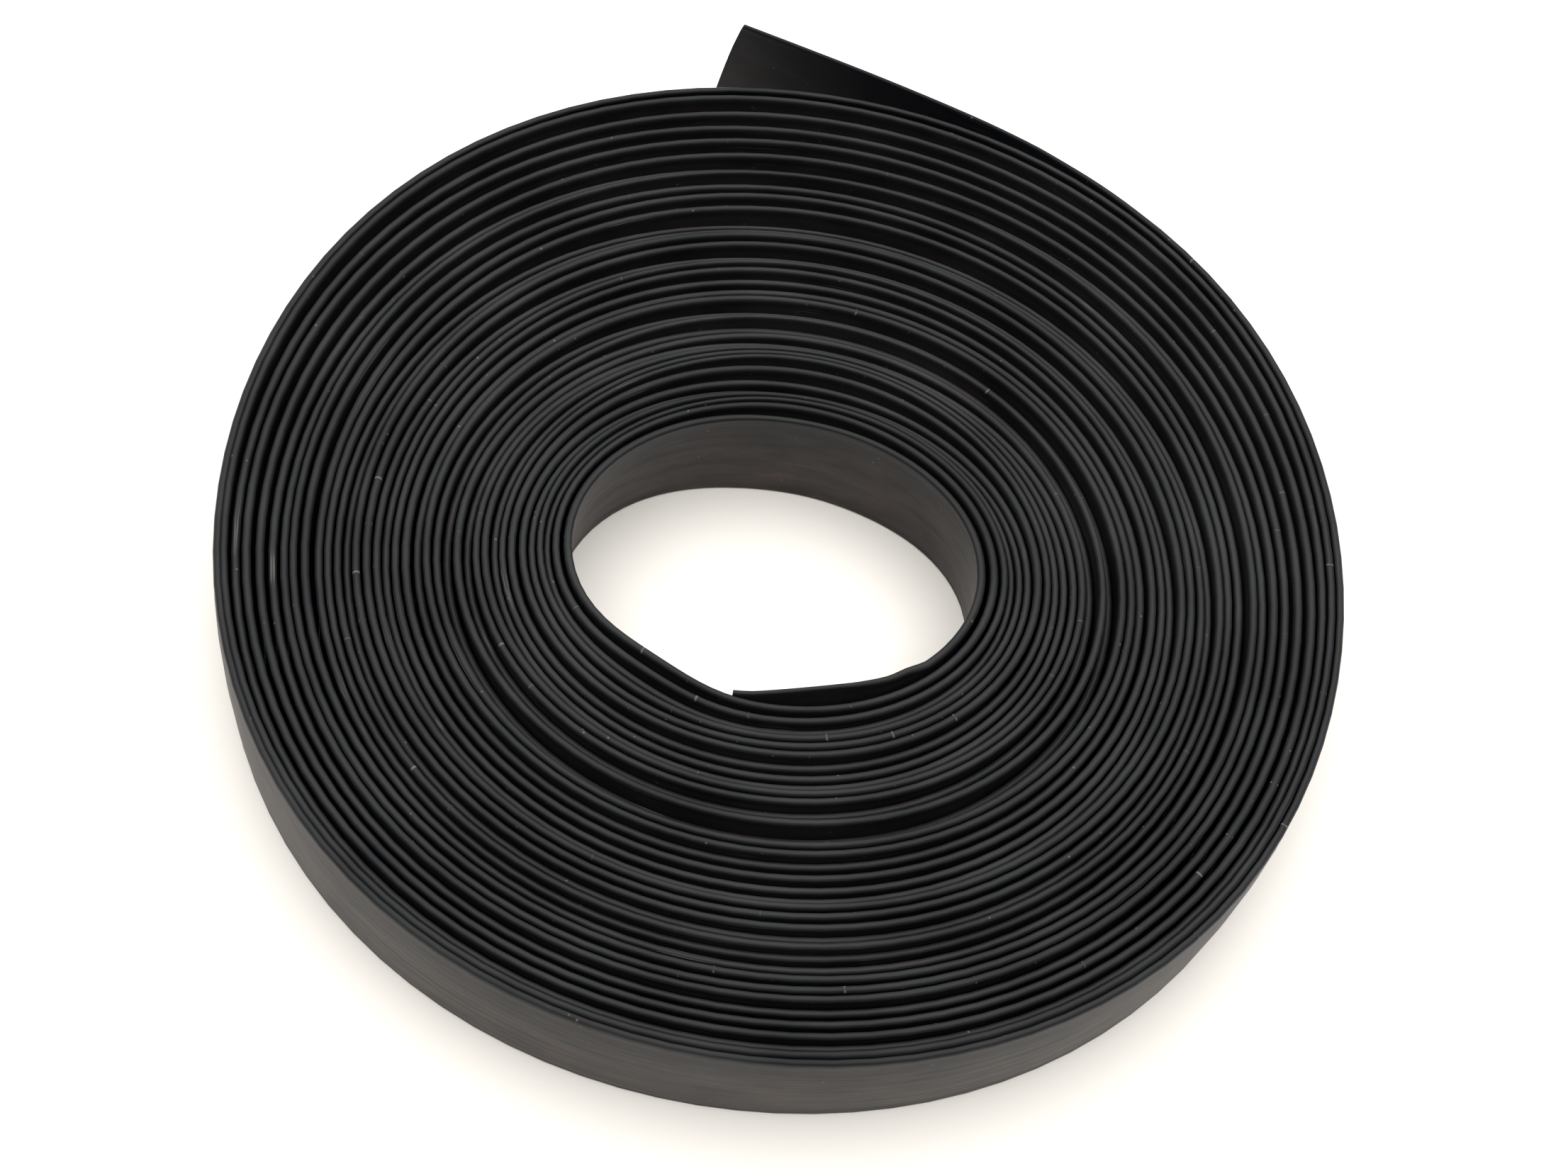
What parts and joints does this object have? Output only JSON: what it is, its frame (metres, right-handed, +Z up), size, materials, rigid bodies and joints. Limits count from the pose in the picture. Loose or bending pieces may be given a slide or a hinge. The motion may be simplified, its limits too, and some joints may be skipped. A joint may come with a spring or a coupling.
{
  "type": "soaker hose",
  "caption": "Thin-walled lay-flat soaker hose wound on edge into a flat spiral coil with an open middle and two bare cut ends.",
  "frame": {"origin": "centre of the bounding box, on the plane that the coil stands on", "axes": "+Z up along the coil's axis; +X to the coil's right and +Y to its back as it is seen from the front, with the outer tail at the back"},
  "size_m": [0.1964, 0.2076, 0.025],
  "materials": {
    "hose_wall": "satin black film, brown-grey where the light falls on it",
    "hose_end": "satin black film"
  },
  "bodies": {
    "outer_band": {"lap_01": "hose_wall", "lap_02": "hose_wall", "lap_03": "hose_wall", "lap_04": "hose_wall", "lap_05": "hose_wall", "lap_06": "hose_wall", "lap_07": "hose_wall", "lap_08": "hose_wall", "lap_09": "hose_wall", "lap_10": "hose_wall", "lap_11": "hose_wall", "lap_12": "hose_wall"},
    "middle_band": {"lap_13": "hose_wall", "lap_14": "hose_wall", "lap_15": "hose_wall", "lap_16": "hose_wall", "lap_17": "hose_wall", "lap_18": "hose_wall", "lap_19": "hose_wall", "lap_20": "hose_wall", "lap_21": "hose_wall", "lap_22": "hose_wall", "lap_23": "hose_wall", "lap_24": "hose_wall"},
    "core": {"lap_25": "hose_wall", "lap_26": "hose_wall", "lap_27": "hose_wall", "lap_28": "hose_wall", "lap_29": "hose_wall", "lap_30": "hose_wall", "lap_31": "hose_wall", "lap_32": "hose_wall", "lap_33": "hose_wall", "lap_34": "hose_wall", "lap_35": "hose_wall"},
    "outer_tail": {"outer_tail": "hose_end"},
    "inner_end": {"inner_end": "hose_end"}
  },
  "joints": [
    {"name": "middle_band_slide", "type": "slide", "parent": "outer_band", "child": "middle_band", "axis": [0, 0, 1], "range_m": [0, 0.008]},
    {"name": "core_slide", "type": "slide", "parent": "middle_band", "child": "core", "axis": [0, 0, 1], "range_m": [0, 0.008]},
    {"name": "outer_tail_bend", "type": "hinge", "parent": "outer_band", "child": "outer_tail", "pos_m": [0.05007, 0.08007, 0.0125], "axis": [0, 0, -1], "range_deg": [-3, 45], "stiffness_Nm_per_rad": 0.001},
    {"name": "inner_end_bend", "type": "hinge", "parent": "core", "child": "inner_end", "pos_m": [0.02785, -0.02736, 0.0125], "axis": [0, 0, -1], "range_deg": [0, 40], "stiffness_Nm_per_rad": 0.002}
  ],
  "couplings": [
    {"joint": "core_slide", "follows": "middle_band_slide", "ratio": 1}
  ]
}
